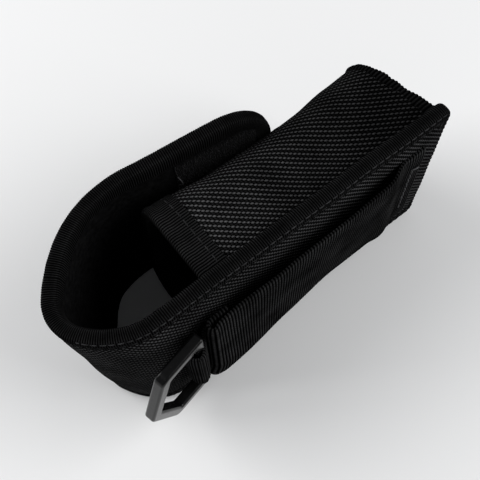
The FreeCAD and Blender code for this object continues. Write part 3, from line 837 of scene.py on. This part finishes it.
# Pieces on the flap's end: their transform is baked, with bend weights taken at the flap's end.
def bendWithFlapEnd(piece):
    bendWithFlap(piece, stretches[2], [pathLength - hookBox["inset"]] * len(piece.data.vertices))


tufts = {"rows": 36, "columns": 66, "long": 0.55, "wide": 0.07, "root": 0.2, "scatter": 0.4, "lean": 0.3,
         "kneeAt": 0.6, "kneeRise": 0.15, "tip": 0.7, "seed": 11}


# Short curled bristles standing all over a patch, in rows with a little scatter.
def tuftsPiece(name, place, material):
    draw = random.Random(tufts["seed"])
    rows, columns, scatter = tufts["rows"], tufts["columns"], tufts["scatter"]
    points, faces = [], []
    for i in range(rows):
        for j in range(columns):
            u = (i + 0.5 + draw.uniform(-scatter, scatter)) / rows
            v = (j + 0.5 + draw.uniform(-scatter, scatter)) / columns
            base, tip = Vector(place(u, v, tufts["root"])), Vector(place(u, v, tufts["root"] + tufts["long"]))
            ahead = tip - base
            tip += Vector([draw.uniform(-tufts["lean"], tufts["lean"]) for axis in range(3)])
            side = ahead.cross(Vector((0, 0, 1))).normalized() * tufts["wide"]
            lift = Vector((0, 0, tufts["wide"]))
            knee = base.lerp(tip, tufts["kneeAt"]) + ahead * tufts["kneeRise"]
            start = len(points)
            for spot, share in ((base, 1.0), (knee, 1.0), (tip, tufts["tip"])):
                points += [spot + side * share, spot + lift * share, spot - side * share, spot - lift * share]
            faces += loftFaces(3, 4, start)
    return meshPiece(name, points, faces, [(0, 0)] * len(points), material)


hookTufts = tuftsPiece("hookTufts", hookPlace, materials["hooks"])
bendWithFlapEnd(hookTufts)
hookPatch = patchPiece("hookPatch", hookPlace, 70, 120)
bendWithFlapEnd(hookPatch)
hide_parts("hook_patch")

looseEnd = {"u": 0.985, "swing": 0.03, "turns": 3.0, "v": 0.9, "long": 0.09, "lift": 0.5, "arch": 1.2, "parts": 12,
            "radius": 0.12}


# A loose thread end curling out of the hook patch.
def looseThread(name, spots, radius):
    points, sides = [], stitching["sides"]
    for index, spot in enumerate(spots):
        ahead = (Vector(spots[min(index + 1, len(spots) - 1)]) - Vector(spots[max(index - 1, 0)])).normalized()
        lift = ahead.cross(Vector((0.0, 1.0, 0.2))).normalized()
        side = ahead.cross(lift)
        for j in range(sides):
            angle = 2 * math.pi * j / sides
            points.append(Vector(spot) + (lift * math.sin(angle) + side * math.cos(angle)) * radius)
    return meshPiece(name, points, loftFaces(len(spots), sides), [(0, 0)] * len(points), materials["thread"])


threadSpots = [hookPlace(looseEnd["u"] - looseEnd["swing"] * math.sin(looseEnd["turns"] * t),
                         looseEnd["v"] - looseEnd["long"] * t,
                         looseEnd["lift"] + looseEnd["arch"] * math.sin(math.pi * t))
               for t in (i / looseEnd["parts"] for i in range(looseEnd["parts"] + 1))]
threadEnd = looseThread("looseThread", threadSpots, looseEnd["radius"])
bendWithFlapEnd(threadEnd)

# The loop patch: where it starts along the pocket, and its share of the way round it.
loopBox = {"start": 12.0, "long": 30.0, "from": 0.29, "share": 0.42, "lift": 0.6}


def loopPlace(u, v, lift):
    return pocketPoint(mouthX + loopBox["start"] + loopBox["long"] * u, loopBox["from"] + loopBox["share"] * v,
                       -loopBox["lift"] * lift)


loopPatch = patchPiece("loopPatch", loopPlace, 60, 70)
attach(loopPatch, "holster")
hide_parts("loop_patch")
print("patches made")


# webbing: the belt strap and the ring's tab
webbing = {"across": 20, "pathStep": 0.3, "edgePower": 14, "edgeThick": 0.45, "fray": 0.12, "wave": 0.2}


# A line through these corners, each rounded to its own radius.
def roundedPath(corners, step):
    points = []
    for index, (spot, radius) in enumerate(corners):
        spot = Vector(spot)
        if index in (0, len(corners) - 1) or radius == 0:
            points.append(spot)
            continue
        before = (Vector(corners[index - 1][0]) - spot).normalized()
        after = (Vector(corners[index + 1][0]) - spot).normalized()
        half = before.angle(after) / 2
        reach = radius / math.tan(half)
        hub = spot + (before + after).normalized() * (radius / math.sin(half))
        first, last = spot + before * reach - hub, spot + after * reach - hub
        turn = first.angle_signed(last)
        count = max(int(abs(turn) * radius / step), 4)
        for i in range(count + 1):
            points.append(hub + Matrix.Rotation(-turn * i / count, 2) @ first)
    return points


def resample(points, step):
    lengths = [0.0]
    for a, b in zip(points, points[1:]):
        lengths.append(lengths[-1] + (b - a).length)
    found, k = [], 0
    for t in stations(0.0, lengths[-1], step):
        while k < len(points) - 2 and lengths[k + 1] < t:
            k += 1
        span = max(lengths[k + 1] - lengths[k], 1e-9)
        spot = points[k].lerp(points[k + 1], (t - lengths[k]) / span)
        ahead = (points[min(k + 2, len(points) - 1)] - points[max(k - 1, 0)]).normalized()
        found.append((t, spot, ahead))
    return found


def webbingPiece(name, corners, size):
    rings, uvs = [], []
    across, low, high = webbing["across"], size["low"], size["high"]
    for t, spot, ahead in resample(roundedPath(corners, webbing["pathStep"]), size["step"]):
        side = Vector((ahead.y, -ahead.x))
        ridge = size["rib"] * (abs(math.sin(math.pi * t / size["pitch"])) - 0.5)
        front, back = [], []
        for j in range(across + 1):
            v = j / across
            edge = 1 - abs(2 * v - 1) ** webbing["edgePower"]
            z = low + (high - low) * v
            z += webbing["fray"] * softNoise(t, v * 3, 2.5, 6.0) * (1 - edge)
            half = size["thick"] / 2 * (webbing["edgeThick"] + (1 - webbing["edgeThick"]) * edge) + ridge * edge
            swayX, swayY = size["sway"](t, v)
            swayY += webbing["wave"] * softNoise(t, v * 30, 14.0, 7.7)
            front.append((spot.x + side.x * half + swayX, spot.y + side.y * half + swayY, z))
            back.append((spot.x - side.x * half + swayX, spot.y - side.y * half + swayY, z))
        rings.append(front + back[::-1])
        flat = [(t, low + (high - low) * j / across) for j in range(across + 1)]
        uvs.append(flat + flat[::-1])
    piece = loftPiece(name, rings, uvs, materials[size["cloth"]])
    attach(piece, "holster")
    return piece


def place(x, y):
    return (mouthX + x, faceY + y)


# The strap's lower edge stands off the panel at the ring's end and lies close to it at the other.
strap = {"cloth": "webbing", "thick": 1.45, "pitch": ribPitch["webbing"], "rib": 0.17, "step": 0.143,
         "low": 10.0, "high": 48.0, "slant": 1.4, "slide": 0.5, "corner": 0.2, "foot": 7.5, "footLong": 4.0,
         "foldLong": 5.0, "lean": ((0.0, 0.9), (14.0, 0.9), (32.0, -0.1), (50.0, -0.75), (62.0, -0.6), (69.0, 0.5),
                                   (74.0, 0.0), (90.0, 0.0))}


def strapSway(t, v):
    foot = strap["foot"]
    lean = throughPoints(strap["lean"], t) * smooth(foot, foot + strap["footLong"], t)
    fold = math.exp(-((t - foot) / strap["foldLong"]) ** 2)
    slant = strap["slant"] * smooth(strap["corner"], 0.0, v)
    return -fold * (slant + strap["slide"] * (1 - v)), lean * (2 * v - 1)


strap["sway"] = strapSway
strapCorners = [(place(3.5, -2.95), 0), (place(-2.85, -2.95), 1.3), (place(-2.85, -5.75), 1.3),
                (place(18.0, -4.4), 30.0), (place(36.0, -3.25), 30.0), (place(55.5, -2.8), 8.0),
                (place(60.0, -0.9), 5.0), (place(66.0, -0.8), 0)]
beltStrap = webbingPiece("beltStrap", strapCorners, strap)
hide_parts("belt_strap")

ringJoint = [joint for joint in frame["joints"] if joint["name"] == "ring_swing"][0]
bar = Vector(ringJoint["pos_m"]) / mm
tab = {"cloth": "tabWebbing", "thick": 1.05, "pitch": ribPitch["tabWebbing"], "rib": 0.17, "step": 0.124,
       "low": 16.5, "high": 41.5, "loop": 2.75, "sway": lambda t, v: (0.0, 0.0)}


def roundBar(x, y):
    return (bar.x + tab["loop"] * x, bar.y + tab["loop"] * y)


tabCorners = [(place(3.4, -1.65), 0), (place(-3.4, -1.75), 3.0), ((bar.x + 0.2, bar.y - tab["loop"]), 2.4),
              (roundBar(-1.02, -0.9), 2.5), (roundBar(-1.02, 0.9), 2.4), ((bar.x + 0.6, bar.y + tab["loop"]), 2.4),
              (place(-3.4, -0.62), 3.0), (place(3.4, -0.55), 0)]
ringTab = webbingPiece("ringTab", tabCorners, tab)
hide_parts("ring_tab")


# Rows of stitches on the webbing, each from one end to the other with its stitch length and pitch.
def threadPiece(name, rows, material, radius):
    points, faces = [], []
    for first, last, long, pitch in rows:
        first, last = Vector(first), Vector(last)
        ahead = (last - first).normalized()
        for t in stations(0.0, (last - first).length - long, pitch):
            stitchMesh((first + ahead * t, first + ahead * (t + long)), (0, -1, 0), points, faces, radius)
    piece = meshPiece(name, points, faces, [(0, 0)] * len(points), material)
    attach(piece, "holster")
    return piece


strapFace = 1.52  # the strap's outer face where it is sewn down, off the panel's face


def onStrap(x, z, rise):
    return (mouthX + x, faceY - strapFace - rise, z)


# The light thread at the strap's far end: across it, with a tail at the top.
farRows = [(onStrap(62.8, 40.5, 0.15), onStrap(62.8, 17.5, 0.15), 2.2, 2.45),
           (onStrap(62.8, 40.6, 0.18), onStrap(65.4, 39.4, 0.18), 2.4, 2.5)]
strapStitches = threadPiece("strapStitches", farRows, materials["thread"], 0.2)
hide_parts("strap_stitching")
print("webbing made")

# ring
ringNode = frame["nodes"]["d_ring"]
for index in range(len(ringNode.data.materials)):
    ringNode.data.materials[index] = materials["ring"]
for polygon in ringNode.data.polygons:
    polygon.use_smooth = True

# floor, light and camera
studio = {"floor": 0.8, "floorMottle": 0.01, "world": 0.27, "worldColour": (0.95, 0.97, 1.0, 1.0),
          "keyLight": {"power": 4.0, "size": 0.5, "spot": (-0.36, 0.4, 0.42), "target": (0.03, 0.05, 0.0)},
          "sideLight": {"power": 3.6, "size": 0.5, "spot": (0.42, -0.34, 0.42), "target": (0.0, 0.0, 0.02)}}
floorMesh = bpy.data.meshes.new("floor")
floorMesh.from_pydata([(-3, -3, 0), (3, -3, 0), (3, 3, 0), (-3, 3, 0)], [], [(0, 1, 2, 3)])
floor = bpy.data.objects.new("floor", floorMesh)
bpy.context.scene.collection.objects.link(floor)
floorShader = Shader("paleFloor")
floorTone = floorShader.vary(floorShader.noise(6.0, 2.0), studio["floor"] - studio["floorMottle"],
                             studio["floor"] + studio["floorMottle"])
floorMesh.materials.append(floorShader.finish(floorShader.grey(floorTone), 0.6, 0.0, 0.2))

world = bpy.data.worlds.new("studio")
bpy.context.scene.world = world
world.use_nodes = True
world.node_tree.nodes["Background"].inputs[0].default_value = studio["worldColour"]
world.node_tree.nodes["Background"].inputs[1].default_value = studio["world"]

for name in ("keyLight", "sideLight"):
    light = studio[name]
    data = bpy.data.lights.new(name, "AREA")
    data.energy = light["power"]
    data.size = light["size"]
    lamp = bpy.data.objects.new(name, data)
    lamp.location = light["spot"]
    lamp.rotation_euler = (Vector(light["target"]) - Vector(light["spot"])).to_track_quat("-Z", "Y").to_euler()
    bpy.context.scene.collection.objects.link(lamp)

# The camera looks down on the open mouth; its spot is in mm.
view = {"azimuth": 54.06, "elevation": 68.18, "roll": -2.37, "focal": 63.19,
        "spot": (mouthX - 27.2, faceY - 51.2, 230.6)}
azimuth, elevation, roll = (math.radians(view[key]) for key in ("azimuth", "elevation", "roll"))
look = Vector((math.cos(azimuth) * math.cos(elevation), math.sin(azimuth) * math.cos(elevation),
               -math.sin(elevation)))
right = Vector((math.sin(azimuth), -math.cos(azimuth), 0.0))
up = right.cross(look)
turned = math.cos(roll) * right + math.sin(roll) * up
upright = math.cos(roll) * up - math.sin(roll) * right
camera = bpy.data.objects.new("camera", bpy.data.cameras.new("camera"))
camera.data.lens = view["focal"]
camera.data.clip_start = 0.01
camera.matrix_world = Matrix.Translation(Vector(view["spot"]) * mm) @ Matrix(
    (turned, upright, -look)).transposed().to_4x4()
bpy.context.scene.collection.objects.link(camera)
bpy.context.scene.camera = camera
bpy.context.scene.view_settings.view_transform = "Standard"

print("scene made")
